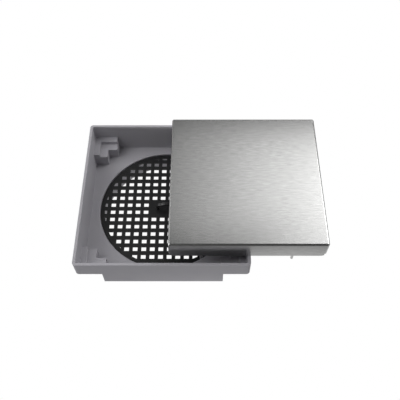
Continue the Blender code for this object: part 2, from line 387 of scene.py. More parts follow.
def weld_and_shade(obj: Object, edge_width: float = 0.0) -> Object:
    """Cleans a finished solid and gives it crisp flats between smooth rounds.

    Args:
        obj: The solid.
        edge_width: Width of a small bevel on its long sharp edges, or 0 for none.

    Returns:
        The same object.
    """
    mesh = bmesh.new()
    mesh.from_mesh(obj.data)
    bmesh.ops.remove_doubles(mesh, verts=mesh.verts[:], dist=WELD)
    bmesh.ops.dissolve_degenerate(mesh, edges=mesh.edges[:], dist=WELD)
    weights = mesh.edges.layers.float.new("bevel_weight_edge")
    if edge_width:
        for edge in mesh.edges:
            sharp = len(edge.link_faces) == 2 and edge.calc_face_angle(0) > BEVEL_ANGLE
            if sharp and edge.calc_length() > BEVEL_REACH * edge_width:
                edge[weights] = 1.0
    mesh.to_mesh(obj.data)
    mesh.free()
    obj.data.shade_smooth()
    obj.data.set_sharp_from_angle(angle=SMOOTH_ANGLE)
    if edge_width:
        bevel = obj.modifiers.new("soft_edges", "BEVEL")
        bevel.limit_method = "WEIGHT"
        bevel.width = edge_width
        bevel.segments = 2
        bevel.use_clamp_overlap = True
    weighted = obj.modifiers.new("flat_faces", "WEIGHTED_NORMAL")
    weighted.keep_sharp = True
    return settle(obj)


def repeat(
    name: str,
    shape: Object,
    centre: Vector,
    look: Material,
    lay_out: Callable[[NodeTree, Any], tuple[Any, Any]],
    sizes: Optional[dict[str, float]] = None,
    points: Sequence[Place] = (),
) -> Object:
    """Repeats a shape with a Geometry Nodes tree, which ends in one dressed mesh.

    Args:
        name: Name of the tree and of the new object.
        shape: The shape, which is deleted afterwards.
        centre: Where the layout's origin goes.
        look: Material of the copies.
        lay_out: Adds the layout's nodes and returns the sockets of its points and of their selection.
        sizes: Values of the inputs that the layout needs, by name.
        points: Points for a layout that makes none itself.

    Returns:
        The copies as one plain mesh.
    """
    values = {"Shape": shape, "Centre": centre, "Look": look, **(sizes or {})}
    kinds = {"Points": "Geometry", "Shape": "Object", "Centre": "Vector", "Look": "Material"}
    kinds.update({size: type(value).__name__.title() for size, value in (sizes or {}).items()})
    tree = bpy.data.node_groups.new(name, "GeometryNodeTree")
    tree.interface.new_socket("Geometry", in_out="OUTPUT", socket_type="NodeSocketGeometry")
    for socket, kind in kinds.items():
        tree.interface.new_socket(socket, in_out="INPUT", socket_type=f"NodeSocket{kind}")
    given = add_node(tree, "NodeGroupInput").outputs
    spots, chosen = lay_out(tree, given)
    original = {"transform_space": "ORIGINAL"}
    source = add_node(tree, "GeometryNodeObjectInfo", original, {"Object": given["Shape"]})
    standing = {"Points": spots, "Selection": chosen, "Instance": source.outputs["Geometry"]}
    copies = add_node(tree, "GeometryNodeInstanceOnPoints", inputs=standing).outputs[0]
    shift = {"Geometry": copies, "Translation": given["Centre"]}
    put = add_node(tree, "GeometryNodeTransform", inputs=shift).outputs[0]
    whole = add_node(tree, "GeometryNodeRealizeInstances", inputs={0: put}).outputs[0]
    surface = {"Geometry": whole, "Material": given["Look"]}
    dressed = add_node(tree, "GeometryNodeSetMaterial", inputs=surface).outputs[0]
    add_node(tree, "NodeGroupOutput", inputs={0: dressed})
    mesh = bpy.data.meshes.new(name)
    mesh.from_pydata(points, [], [])
    made = bpy.data.objects.new(name, mesh)
    bpy.context.scene.collection.objects.link(made)
    step = made.modifiers.new(name, "NODES")
    step.node_group = tree
    for item in tree.interface.items_tree:
        if item.item_type == "SOCKET" and item.in_out == "INPUT" and item.name in values:
            step[item.identifier] = values[item.name]
    settle(made)
    bpy.data.objects.remove(shape, do_unlink=True)
    return made


def every_point(tree: NodeTree, given: Any) -> tuple[Any, bool]:
    """Lays copies on all of the points that a tree is given."""
    return given["Points"], True


def dress(piece: Object, look: Material, body: Body, nodes: Sequence[str]) -> None:
    """Gives a finished piece its material and ties it to the frame.

    Args:
        piece: The finished piece, at the origin.
        look: Its material.
        body: The body that it rides on.
        nodes: The frame's nodes that it stands for.
    """
    piece.data.materials.clear()
    piece.data.materials.append(look)
    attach(piece, body.value)
    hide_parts(*nodes)
    piece.data.calc_loop_triangles()
    LOG.info("%s: %d triangles for %s", piece.name, len(piece.data.loop_triangles), ", ".join(nodes))


def frame_middle(node: str, top: bool) -> Vector:
    """Finds where a sub-assembly stands.

    Args:
        node: A node of the frame.
        top: True for the middle of the top of its box, False for the bottom.

    Returns:
        The point.
    """
    low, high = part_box(node)
    return Vector(((low.x + high.x) / 2, (low.y + high.y) / 2, high.z if top else low.z))


# Finishes


@dataclass(frozen=True, kw_only=True)
class Finish:
    """A surface whose colour and gloss wander between two ends, under a fine relief."""

    name: str
    colour: str
    roughness: float
    roughness_spread: float = 0.05

    def begin(self) -> tuple[Material, Any]:
        """Starts the node material.

        Returns:
            The material and its object coordinates, in which every pattern is drawn.
        """
        made = bpy.data.materials.new(self.name)
        made.use_nodes = True
        return made, add_node(made.node_tree, "ShaderNodeTexCoord").outputs["Object"]

    def lay(self, tree: NodeTree, pattern: Any, ends: Sequence[tuple[str, float]], relief: Any) -> Any:
        """Feeds the shader with colour, gloss and relief.

        Args:
            tree: The material's tree.
            pattern: The socket of the noise that colour and gloss follow.
            ends: (colour, roughness) where the pattern is weak and where it is strong.
            relief: Inputs of the bump node.

        Returns:
            The shader's input sockets.
        """
        shader = tree.nodes["Principled BSDF"].inputs
        (weak, weak_gloss), (strong, strong_gloss) = ends
        colours = {0: pattern, 6: linear(weak), 7: linear(strong)}
        tint = add_node(tree, "ShaderNodeMix", {"data_type": "RGBA"}, colours).outputs[2]
        gloss = ramp(tree, pattern, NOISE_RANGE, (weak_gloss, strong_gloss))
        bump = add_node(tree, "ShaderNodeBump", inputs=relief).outputs["Normal"]
        for name, socket in {"Base Color": tint, "Roughness": gloss, "Normal": bump}.items():
            tree.links.new(socket, shader[name])
        return shader


@dataclass(frozen=True, kw_only=True)
class MouldedPlastic(Finish):
    """Injection moulded plastic: an even colour with faint clouding, under a fine mould texture."""

    clouded: str
    cloud_size: float
    grain_size: float = 0.4 * MM
    grain_depth: float = 0.02 * MM
    grain_strength: float = 0.35
    specular: float = 0.5

    def material(self) -> Material:
        """Builds the node material.

        Returns:
            The material, patterned in object coordinates.
        """
        made, place = self.begin()
        tree = made.node_tree
        cloudy = {"Vector": place, "Scale": 1 / self.cloud_size, "Detail": 4.0, "Roughness": 0.55}
        clouds = add_node(tree, "ShaderNodeTexNoise", inputs=cloudy).outputs["Fac"]
        grainy = {"Vector": place, "Scale": 1 / self.grain_size, "Detail": 2.0, "Roughness": 0.5}
        grain = add_node(tree, "ShaderNodeTexNoise", inputs=grainy).outputs["Fac"]
        rough, spread = self.roughness, self.roughness_spread
        ends = ((self.colour, rough - spread), (self.clouded, rough + spread))
        relief = {"Strength": self.grain_strength, "Distance": self.grain_depth, "Height": grain}
        shader = self.lay(tree, clouds, ends, relief)
        shader["IOR"].default_value = PLASTIC_IOR
        shader["Specular IOR Level"].default_value = self.specular
        return made


@dataclass(frozen=True, kw_only=True)
class BrushedSteel(Finish):
    """Stainless steel brushed with an abrasive belt: long fine lines that stretch every reflection."""

    line_colour: str
    anisotropy: float
    line_width: float
    line_length: float
    line_depth: float
    line_strength: float = 0.35
    band_share: float = 0.12
    band_width: float = 4.0
    band_length: float = 2.0
    grain: Grain = Grain.ALONG_X

    def material(self) -> Material:
        """Builds the node material.

        The lines run along the brushing. On faces folded down at the ends of the lines they turn
        upright with the sheet, because one sheet was brushed before it was folded.

        Returns:
            The material, patterned in object coordinates.
        """
        made, place = self.begin()
        tree = made.node_tree
        lines = self.streaks(tree, place, self.line_width, self.line_length)
        wide, long = self.line_width * self.band_width, self.line_length * self.band_length
        bands = self.streaks(tree, place, wide, long)
        shares = {0: self.band_share, 2: lines, 3: bands}
        both = add_node(tree, "ShaderNodeMix", {"data_type": "FLOAT"}, shares).outputs[0]
        rough, spread = self.roughness, self.roughness_spread
        ends = ((self.line_colour, rough + spread), (self.colour, rough - spread))
        relief = {"Strength": self.line_strength, "Distance": self.line_depth, "Height": lines}
        shader = self.lay(tree, both, ends, relief)
        turning = {"direction_type": "RADIAL", "axis": "X" if self.grain is Grain.ALONG_X else "Z"}
        tree.links.new(add_node(tree, "ShaderNodeTangent", turning).outputs["Tangent"], shader["Tangent"])
        shader["Metallic"].default_value = 1.0
        shader["Anisotropic"].default_value = self.anisotropy
        shader["Anisotropic Rotation"].default_value = QUARTER_TURN
        return made

    def streaks(self, tree: Any, place: Any, width: float, length: float) -> Any:
        """Adds noise drawn out along the brushing.

        Args:
            tree: The material's tree.
            place: Object coordinates.
            width: Width of one line.
            length: Length of one line.

        Returns:
            The noise's value socket.
        """
        axes = add_node(tree, "ShaderNodeSeparateXYZ", inputs={0: place}).outputs
        if self.grain is Grain.ALONG_X:
            normal = add_node(tree, "ShaderNodeNewGeometry").outputs["Normal"]
            sides = add_node(tree, "ShaderNodeSeparateXYZ", inputs={0: normal}).outputs["X"]
            keep = reckon(tree, "SUBTRACT", 1.0, reckon(tree, "ABSOLUTE", sides))
            across = reckon(tree, "MULTIPLY_ADD", axes["Z"], keep, axes["Y"])
            spot = {"X": reckon(tree, "ADD", axes["X"], axes["Z"]), "Y": across}
        else:
            spot = {"X": axes["Z"], "Y": reckon(tree, "ADD", axes["X"], axes["Y"])}
        drawn = add_node(tree, "ShaderNodeCombineXYZ", inputs=spot).outputs[0]
        stretch = {"Vector": drawn, "Scale": (1 / length, 1 / width, 1.0)}
        scaled = add_node(tree, "ShaderNodeMapping", inputs=stretch).outputs[0]
        wild = {"Vector": scaled, "Scale": 1.0, "Detail": 3.0, "Roughness": 0.6}
        return add_node(tree, "ShaderNodeTexNoise", inputs=wild).outputs["Fac"]


# Mid-grey ABS with a fine spark-eroded mould texture: soft, wide highlights.
TRAY_PLASTIC = MouldedPlastic(
    name="tray_moulded_abs",
    colour="#b6b5b9",
    clouded="#b0aeb5",
    roughness=0.55,
    cloud_size=18 * MM,
    grain_size=0.35 * MM,
    specular=0.25,
)
# Black polypropylene, satin from the mould: edges and flats pick up a grey sheen.
STRAINER_PLASTIC = MouldedPlastic(
    name="strainer_moulded_polypropylene",
    colour="#1b1b1c",
    clouded="#222223",
    roughness=0.40,
    roughness_spread=0.06,
    cloud_size=6 * MM,
    grain_depth=0.03 * MM,
    grain_strength=0.4,
)
# The bow comes from a polished mould, so it shows one long clear highlight.
BOW_PLASTIC = MouldedPlastic(
    name="bow_polished_polypropylene",
    colour="#1d1d1e",
    clouded="#242425",
    roughness=0.32,
    roughness_spread=0.02,
    cloud_size=8 * MM,
    grain_size=1.2 * MM,
    grain_depth=0.002 * MM,
    grain_strength=0.1,
    specular=1.0,
)
# Grey polystyrene rib plate inside the cover: duller and a little darker than the tray.
RIB_PLASTIC = MouldedPlastic(
    name="rib_plate_polystyrene",
    colour="#747577",
    clouded="#6c6d70",
    roughness=0.55,
    cloud_size=12 * MM,
)
# Stainless sheet, belt brushed at about 180 grit. Real lines are near 0.1 mm apart, too fine to show,
# so they are drawn 1 mm wide and 7 mm long, nearly without depth, because deep wide lines would look dented.
COVER_STEEL = BrushedSteel(
    name="cover_brushed_stainless",
    colour="#dcdcdb",
    line_colour="#adadac",
    roughness=0.22,
    roughness_spread=0.015,
    anisotropy=0.55,
    line_width=1.0 * MM,
    line_length=7 * MM,
    line_depth=0.0001 * MM,
)
# Drawn stainless wire of the feet, with faint lines along its length.
FOOT_STEEL = BrushedSteel(
    name="foot_drawn_stainless_wire",
    colour="#cfcfce",
    line_colour="#bdbdbc",
    roughness=0.3,
    anisotropy=0.3,
    line_width=0.25 * MM,
    line_length=9 * MM,
    line_depth=0.004 * MM,
    grain=Grain.ALONG_Z,
)


# Sub-assemblies


@dataclass
class Tray:
    """The moulded tray: basin, stepped corner supports, strainer recess and outlet collar."""

    centre: Vector = field(default_factory=lambda: frame_middle("tray_body", top=True))
    half: float = 75.0 * MM
    side_depth: float = 33.2 * MM
    rim: float = 2.5 * MM
    corner_radius: float = 3.0 * MM
    cavity_corner_radius: float = 1.5 * MM
    rim_round: float = 0.45 * MM
    draft: float = 1.2 * MM
    floor_depth: float = 31.2 * MM
    floor_fillet: float = 0.25 * MM
    support_start: float = 50.0 * MM
    support_wall: float = 2.1 * MM
    outer_step: Point = (66.3 * MM, 15.1 * MM)
    inner_step: Point = (59.0 * MM, 18.8 * MM)
    corner_face_depth: float = 17.5 * MM
    step_round: float = 0.45 * MM
    step_top_round: float = 0.36 * MM
    recess_radius: float = 63.0 * MM
    recess_chamfer: Point = (1.0 * MM, 0.4 * MM)
    recess_wall: float = 2.2 * MM
    ledge_depth: float = 34.7 * MM
    ledge_thickness: float = 2.3 * MM
    bore_radius: float = 59.8 * MM
    collar_radius: float = 62.2 * MM
    collar_depth: float = 51.0 * MM
    soft_edge: float = 0.3 * MM

    def build(self) -> None:
        """Builds the tray and ties it to the frame."""
        tray = self.shell()
        self.add_supports(tray)
        self.add_outlet(tray)
        weld_and_shade(tray, edge_width=self.soft_edge)
        dress(tray, TRAY_PLASTIC.material(), Body.TRAY, ["tray_body"])

    def shell(self) -> Object:
        """Makes the square body with its basin cut out.

        Returns:
            The open body.
        """
        soft = self.rim_round
        body_profile = quarter_round((-soft, -self.side_depth), (0, soft - self.side_depth), False)
        body_profile += quarter_round((0, -soft), (-soft, 0), True)
        square = rounded_square(self.half, self.corner_radius)
        body = lofted("tray_shell", [square], body_profile, self.centre)
        fillet = self.floor_fillet
        lean = self.draft / self.floor_depth
        basin_profile = quarter_round(
            (-self.draft - fillet, -self.floor_depth),
            (-self.draft + fillet * lean, fillet - self.floor_depth),
            False,
        )
        basin_profile += quarter_round((-soft * lean, -soft), (soft, 0), True)
        basin_profile.append((soft, PAST))
        mouth = rounded_square(self.half - self.rim, self.cavity_corner_radius)
        combine(body, lofted("basin", [mouth], basin_profile, self.centre), Join.CUT)
        return body

    def bracket(self, start: float, edge: float, reach: float, signs: tuple[int, int]) -> Outline:
        """L-shaped outline of one corner's support.

        Args:
            start: Where the legs start, from the tray's centre lines.
            edge: The legs' inner edge.
            reach: The legs' outer edge.
            signs: Signs of x and y that name the corner.

        Returns:
            The rounded outline, anticlockwise.
        """
        corners = [(start, edge), (edge, edge), (edge, start), (reach, start), (reach, reach), (start, reach)]
        turned = [(signs[0] * x, signs[1] * y) for x, y in corners]
        return corner_rounded(turned[:: signs[0] * signs[1]], self.step_round)

    def add_supports(self, tray: Object) -> None:
        """Adds the two steps of each corner and hollows the corners from below.

        Args:
            tray: The open body.
        """
        root = -(self.floor_depth + self.side_depth) / 2
        soft = self.step_top_round
        wall = self.support_wall
        adding, cutting = [], []
        ceilings = (self.corner_face_depth, self.inner_step[1] + wall)
        for (edge, depth), ceiling in zip((self.outer_step, self.inner_step), ceilings):
            step = [(0.0, root)] + quarter_round((0, -depth - soft), (-soft, -depth), True, 3)
            adding.append((self.support_start, edge, self.half - self.rim / 2, step, Join.ADD))
            hollow = [(0.0, -self.side_depth - PAST), (0.0, -ceiling)]
            cutting.append((self.support_start + wall, edge + wall, self.half + PAST, hollow, Join.CUT))
        for start, edge, reach, profile, join in adding + cutting:
            outlines = [self.bracket(start, edge, reach, signs) for signs in QUARTERS]
            combine(tray, lofted("corners", outlines, profile, self.centre), join)

    def add_outlet(self, tray: Object) -> None:
        """Adds the cup and collar under the floor, then cuts the recess and the bore.

        Args:
            tray: The body with its supports.
        """
        soft = self.rim_round
        inside_floor = -(self.floor_depth + self.side_depth) / 2
        cup_bottom = -self.ledge_depth - self.ledge_thickness
        cup = quarter_round((-soft, cup_bottom), (0, cup_bottom + soft), False)
        cup.append((0.0, inside_floor))
        collar = quarter_round((-soft, -self.collar_depth), (0, soft - self.collar_depth), False)
        collar.append((0.0, -self.ledge_depth - self.ledge_thickness / 2))
        wide, deep = self.recess_chamfer
        recess = [(0.0, -self.ledge_depth), (0.0, -self.floor_depth - deep)]
        recess += [(wide, -self.floor_depth), (wide, -self.floor_depth + PAST)]
        bore = [(soft, -self.collar_depth - PAST)]
        bore += quarter_round((soft, -self.collar_depth), (0, soft - self.collar_depth), False)
        bore += quarter_round((0, -self.ledge_depth - soft), (soft, -self.ledge_depth), True)
        bore.append((soft, -self.floor_depth))
        for radius, profile, join in (
            (self.recess_radius + self.recess_wall, cup, Join.ADD),
            (self.collar_radius, collar, Join.ADD),
            (self.recess_radius, recess, Join.CUT),
            (self.bore_radius, bore, Join.CUT),
        ):
            combine(tray, lofted("round", [circle(radius, ROUND_STEPS)], profile, self.centre), join)


@dataclass
class Strainer:
    """The perforated disc, with its lifting bow staked to the solid pad in the middle."""

    centre: Vector = field(default_factory=lambda: frame_middle("strainer_plate", top=True))
    radius: float = 62.5 * MM
    thickness: float = 1.6 * MM
    pitch: float = 7.83 * MM
    hole: float = 4.85 * MM
    # Holes are set out at the nominal size and cut this much narrower across and along.
    hole_narrowing: Point = (0.4 * MM, 0.65 * MM)
    across: int = 16
    field_radius: float = 58.8 * MM
    least_overlap: float = 0.8 * MM
    pad_columns: int = 4
    pad_rows: int = 2
    edge_round: float = 0.3 * MM
    hole_flare: float = 0.08 * MM
    bow_half_span: float = 9.8 * MM
    bow_height: float = 8.8 * MM
    bow_crown: float = 1.2 * MM
    bow_thickness: float = 2.4 * MM
    bow_width: float = 3.4 * MM
    bow_corner_radius: float = 4.8 * MM
    bow_edge: float = 0.7 * MM
    stake_radius: float = 1.0 * MM
    stake_head_radius: float = 1.9 * MM
    stake_head_height: float = 0.9 * MM
    stake_head_round: float = 0.35 * MM
    gap: float = 0.3 * MM

    def build(self) -> None:
        """Builds the disc and the bow and ties them to the frame."""
        look = STRAINER_PLASTIC.material()
        dress(self.disc(look), look, Body.STRAINER, ["strainer_plate"])
        bow = self.bow()
        dress(bow, BOW_PLASTIC.material(), Body.STRAINER, ["strainer_handle"])

    def disc(self, look: Material) -> Object:
        """Makes the perforated disc: a turned blank, with its holes set out by a node tree.

        Args:
            look: Its material.

        Returns:
            The finished disc.
        """
        soft = self.edge_round
        profile = quarter_round((-soft, -self.thickness), (0, soft - self.thickness), False, 3)
        profile += quarter_round((0, -soft), (-soft, 0), True, 3)
        disc = lofted("strainer_disc", [circle(self.radius, ROUND_STEPS)], profile, self.centre)
        punch = self.hole_punch(look)
        middle = [(0.0, -self.thickness - 2 * PAST), (0.0, 2 * PAST)]
        limit = lofted("field", [circle(self.field_radius, ROUND_STEPS)], middle, self.centre)
        combine(punch, limit, Join.KEEP)
        combine(disc, punch, Join.CUT)
        through = [(0.0, -self.thickness - PAST), (0.0, PAST)]
        stakes = self.stake_outlines(self.stake_radius + self.gap)
        combine(disc, lofted("stake_holes", stakes, through, self.centre), Join.CUT)
        return weld_and_shade(disc)

    def hole_punch(self, look: Material) -> Object:
        """Sets out one flared punch at every hole's place, with a Geometry Nodes tree.

        Args:
            look: Material of the holes' walls.

        Returns:
            The punches as one plain mesh.
        """
        flare = self.hole_flare
        profile = [(flare, -self.thickness - PAST), (flare, -self.thickness), (0.0, flare - self.thickness)]
        profile += [(0.0, -flare)] + quarter_round((0, -flare), (flare, 0), True, 2)[1:]
        profile.append((flare, PAST))
        half_x, half_y = [(self.hole - less) / 2 for less in self.hole_narrowing]
        opening = [(half_x, half_y), (-half_x, half_y), (-half_x, -half_y), (half_x, -half_y)]
        sizes = {
            "Pitch": self.pitch,
            "Across": self.across,
            "Half Hole": self.hole / 2,
            "Field Radius": self.field_radius - self.least_overlap,
            "Pad Half X": self.pad_columns * self.pitch / 2,
            "Pad Half Y": self.pad_rows * self.pitch / 2,
        }
        shape = lofted("punch", [opening], profile, ORIGIN)
        return repeat("strainer_hole_grid", shape, self.centre, look, self.lay_out_holes, sizes)

    def lay_out_holes(self, tree: NodeTree, given: Any) -> tuple[Any, Any]:
        """Adds a square grid of points, of which those inside the field and off the pad are chosen.

        Args:
            tree: The tree that repeats the punch.
            given: The tree's input sockets, by name.

        Returns:
            The sockets of the points and of their selection.
        """
        span = reckon(tree, "MULTIPLY", reckon(tree, "SUBTRACT", given["Across"], 1.0), given["Pitch"])
        counts = {"Vertices X": given["Across"], "Vertices Y": given["Across"]}
        grid = add_node(tree, "GeometryNodeMeshGrid", inputs={"Size X": span, "Size Y": span, **counts})
        place = add_node(tree, "GeometryNodeInputPosition").outputs[0]
        size = reckon(tree, "ABSOLUTE", place, kind="ShaderNodeVectorMath")
        axes = add_node(tree, "ShaderNodeSeparateXYZ", inputs={0: size}).outputs
        nearest = {}
        off_pad = []
        for axis in ("X", "Y"):
            less = reckon(tree, "SUBTRACT", axes[axis], given["Half Hole"])
            nearest[axis] = reckon(tree, "MAXIMUM", less, 0.0)
            edge = given[f"Pad Half {axis}"]
            off_pad.append(reckon(tree, "GREATER_THAN", axes[axis], edge, kind="FunctionNodeCompare"))
        corner = add_node(tree, "ShaderNodeCombineXYZ", inputs=nearest).outputs[0]
        reach = add_node(tree, "ShaderNodeVectorMath", {"operation": "LENGTH"}, {0: corner}).outputs["Value"]
        inside = reckon(tree, "LESS_THAN", reach, given["Field Radius"], kind="FunctionNodeCompare")
        outside = reckon(tree, "OR", *off_pad, kind="FunctionNodeBooleanMath")
        chosen = reckon(tree, "AND", inside, outside, kind="FunctionNodeBooleanMath")
        return grid.outputs["Mesh"], chosen

    def stake_place(self) -> float:
        """Distance of each stake from the middle: under the middle of the bow's leg."""
        return self.bow_half_span - self.bow_thickness / 2

    def stake_outlines(self, radius: float) -> list[Outline]:
        """Circles of one radius at the places of both stakes."""
        places = (-self.stake_place(), self.stake_place())
        return [[(place + x, y) for x, y in circle(radius, PEG_STEPS)] for place in places]

    def bow_path(self, steps: int = 10) -> list[tuple[Vector, Vector]]:
        """Middle line of the bow in the XZ plane, from its right foot to its left one.

        Args:
            steps: Pieces in each round corner and in each half of the crown.

        Returns:
            (point, outward normal) pairs, counted from the disc's top.
        """
        half = self.stake_place()
        radius = self.bow_corner_radius - self.bow_thickness / 2
        shoulder = self.bow_height - self.bow_thickness / 2 - self.bow_crown
        path = [(Vector((half, 0, self.gap)), Vector((1, 0, 0)))]
        for step in range(steps + 1):
            angle = step / steps * pi / 2
            outward = Vector((cos(angle), 0, sin(angle)))
            middle = Vector((half - radius, 0, self.gap + shoulder - radius))
            path.append((middle + outward * radius, outward))
        reach = half - radius
        for step in range(1, steps + 1):
            x = reach * (1 - step / steps)
            slope = 2 * self.bow_crown * x / reach**2
            rise = self.bow_crown * (1 - (x / reach) ** 2)
            path.append((Vector((x, 0, self.gap + shoulder + rise)), Vector((slope, 0, 1)).normalized()))
        mirror = [(Vector((-p.x, 0, p.z)), Vector((-n.x, 0, n.z))) for p, n in path[-2::-1]]
        return path + mirror

    def bow(self) -> Object:
        """Makes the bow: a rounded bar swept along its path, joined to its two headed stakes.

        Returns:
            The finished bow.
        """
        thick, wide = self.bow_thickness / 2, self.bow_width / 2
        bar = [(thick * sign_x, wide * sign_y) for sign_x, sign_y in QUARTERS]
        section = corner_rounded(bar, self.bow_edge, 4)
        rings = []
        for point, outward in self.bow_path():
            rings.append([self.centre + point + outward * a + Vector((0, b, 0)) for a, b in section])
        mesh = bmesh.new()
        add_rings(mesh, rings)
        bow = object_from("strainer_bow", mesh)
        head_top = -self.thickness - self.gap
        soft = self.stake_head_round
        spread = self.stake_head_radius - self.stake_radius
        profile = quarter_round(
            (spread - 2 * soft, head_top - self.stake_head_height), (spread, head_top - soft), False, 4
        )
        profile += [(spread, head_top), (0.0, head_top), (0.0, self.bow_thickness / 2)]
        stakes = self.stake_outlines(self.stake_radius)
        combine(bow, lofted("stakes", stakes, profile, self.centre), Join.ADD)
        return weld_and_shade(bow)


@dataclass
class Cover:
    """The lift-off cover: a folded steel sheet over a ribbed plate that holds eight feet."""

    centre: Vector = field(default_factory=lambda: frame_middle("cover_skin", top=False))
    half: float = 66.2 * MM
    height: float = 19.6 * MM
    sheet: float = 0.8 * MM
    corner_radius: float = 1.9 * MM
    bend_radius: float = 1.6 * MM
    notch_radius: float = 5.0 * MM
    gap: float = 0.3 * MM
    insert_lift: float = 2.0 * MM
    insert_wall: float = 2.2 * MM
    insert_plate: float = 2.5 * MM
    rib: float = 1.8 * MM
    pockets: int = 6
    foot_radius: float = 1.2 * MM
    foot_spacing: float = 78.0 * MM
    foot_inset: float = 4.0 * MM
    foot_below: float = 12.2 * MM
    socket_depth: float = 10.0 * MM
    boss_radius: float = 2.8 * MM
    insert_round: float = 0.3 * MM
    pocket_round: float = 0.8 * MM
    pocket_taper: float = 0.3 * MM
    tip_round: float = 0.45 * MM
    bend_steps: int = 8

    def build(self) -> None:
        """Builds the sheet, the rib plate and the feet and ties them to the frame."""
        dress(self.skin(), COVER_STEEL.material(), Body.COVER, ["cover_skin"])
        ribs = RIB_PLASTIC.material()
        dress(self.insert(ribs), ribs, Body.COVER, ["cover_insert"])
        wire = FOOT_STEEL.material()
        nodes = sorted(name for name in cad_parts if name.startswith("cover_foot_"))
        dress(self.feet(wire), wire, Body.COVER, nodes)

    def skin(self) -> Object:
        """Makes the folded sheet, with its lower corners cut round.

        Returns:
            The finished sheet.
        """
        steps = self.bend_steps
        bend = self.bend_radius
        outer = [(0.0, 0.0)] + quarter_round((0, self.height - bend), (-bend, self.height), True, steps)
        square = rounded_square(self.half, self.corner_radius, steps)
        skin = lofted("cover_sheet", [square], outer, self.centre)
        top = self.height - self.sheet
        inside = bend - self.sheet
        inner = [(0.0, -PAST)] + quarter_round((0, top - inside), (-inside, top), True, steps)
        hollow = rounded_square(self.half - self.sheet, self.corner_radius - self.sheet, steps)
        combine(skin, lofted("hollow", [hollow], inner, self.centre), Join.CUT)
        for along_x in (True, False):
            combine(skin, self.skirt_notches(along_x), Join.CUT)
        return weld_and_shade(skin)

    def skirt_notches(self, along_x: bool) -> Object:
        """Makes the cutters that round the lower corners of two opposite skirt panels.

        Args:
            along_x: True for the front and back panels, False for the two sides.

        Returns:
            The four cutters as one object.
        """
        radius = self.notch_radius
        inner = self.half - radius
        profile = [(self.half + PAST, -PAST), (self.half + PAST, radius)]
        profile += quarter_round((self.half, radius), (inner, 0.0), True, NOTCH_STEPS)
        profile.append((inner, -PAST))
        mesh = bmesh.new()
        for sign_along, sign_across in QUARTERS:
            rings = []
            for depth in (self.half - self.corner_radius, self.half + 2 * PAST):
                ring = [(sign_along * a, sign_across * depth, z) for a, z in profile]
                rings.append([self.centre + Vector((x, y, z) if along_x else (y, x, z)) for x, y, z in ring])
            add_rings(mesh, rings)
        return object_from("skirt_notches", mesh)

    def foot_places(self) -> list[Point]:
        """Sets out the eight feet, two near each side.

        Returns:
            Their places, from the cover's centre.
        """
        across = self.half - self.foot_inset
        ends = [(end * self.foot_spacing / 2, side * across) for side in (-1, 1) for end in (-1, 1)]
        return ends + [(y, x) for x, y in ends]

    def insert(self, look: Material) -> Object:
        """Makes the ribbed plate under the sheet, with a boss and a socket for each foot.

        Args:
            look: Its material.

        Returns:
            The finished plate.
        """
        half = self.half - self.sheet - self.gap
        top = self.height - self.sheet - self.gap
        ceiling = top - self.insert_plate
        soft, low = self.insert_round, self.insert_lift
        profile = quarter_round((-soft, low), (0, low + soft), False, 3) + [(0.0, top)]
        square = rounded_square(half, self.corner_radius - self.sheet - self.gap)
        insert = lofted("cover_rib_plate", [square], profile, self.centre)
        across = 2 * (half - self.insert_wall)
        pocket = (across - (self.pockets - 1) * self.rib) / self.pockets
        middles = [-across / 2 + pocket / 2 + k * (pocket + self.rib) for k in range(self.pockets)]
        places = [(x, y) for x in middles for y in middles]
        taper = self.pocket_taper
        hollow = [(0.0, low - PAST), (0.0, low), (-taper, ceiling - soft), (-taper - soft, ceiling)]
        window = rounded_square(pocket / 2, self.pocket_round, 3)
        combine(insert, self.copies("pockets", window, hollow, places, look), Join.CUT)
        post = [(0.0, low), (0.0, ceiling + self.insert_plate / 2)]
        socket = [(0.0, low - PAST), (0.0, low + self.socket_depth)]
        for name, radius, upright, join in (
            ("bosses", self.boss_radius, post, Join.ADD),
            ("sockets", self.foot_radius + self.gap, socket, Join.CUT),
        ):
            rounds = self.copies(name, circle(radius, FOOT_STEPS), upright, self.foot_places(), look)
            combine(insert, rounds, join)
        return weld_and_shade(insert)

    def copies(
        self, name: str, outline: Outline, profile: Profile, places: Sequence[Point], look: Material
    ) -> Object:
        """Repeats one solid under the cover, with a Geometry Nodes tree.

        Args:
            name: The new object's name.
            outline: Outline of the solid.
            profile: Its profile, from low to high.
            places: Places of the copies, from the cover's centre.
            look: Their material.

        Returns:
            The copies as one plain mesh.
        """
        shape = lofted("shape", [outline], profile, ORIGIN)
        spots = [(x, y, 0.0) for x, y in places]
        return repeat(name, shape, self.centre, look, every_point, points=spots)

    def feet(self, look: Material) -> Object:
        """Makes the eight wire feet, with softly rounded tips.

        Args:
            look: Their material.

        Returns:
            The feet as one object.
        """
        tip = self.tip_round
        profile = quarter_round((-tip, -self.foot_below), (0, tip - self.foot_below), False)
        profile.append((0.0, self.insert_lift + self.socket_depth - self.gap))
        outline = circle(self.foot_radius, FOOT_STEPS)
        return weld_and_shade(self.copies("cover_feet", outline, profile, self.foot_places(), look))


@dataclass(frozen=True)
class Panel:
    """A rectangular light panel that faces straight down or towards the drain.

    Its middle is counted from the middle of the tray's rim. A panel of brightness 1 looks as bright
    as the white floor.
    """

    name: str
    middle: Place
    size: Point
    brightness: float
    aimed: bool = False


@dataclass(frozen=True)
class Pool:
    """A soft-edged oval of painted glow on the floor, as the drain's reflections see it; the floor gives off
    this light itself.

    Its middle is counted from the world's origin. It is even inside the first reach and gone at the
    second one, both measured across, and is stretched along x.
    """

    middle: Point
    stretch: float
    reach: Point
    glow: float


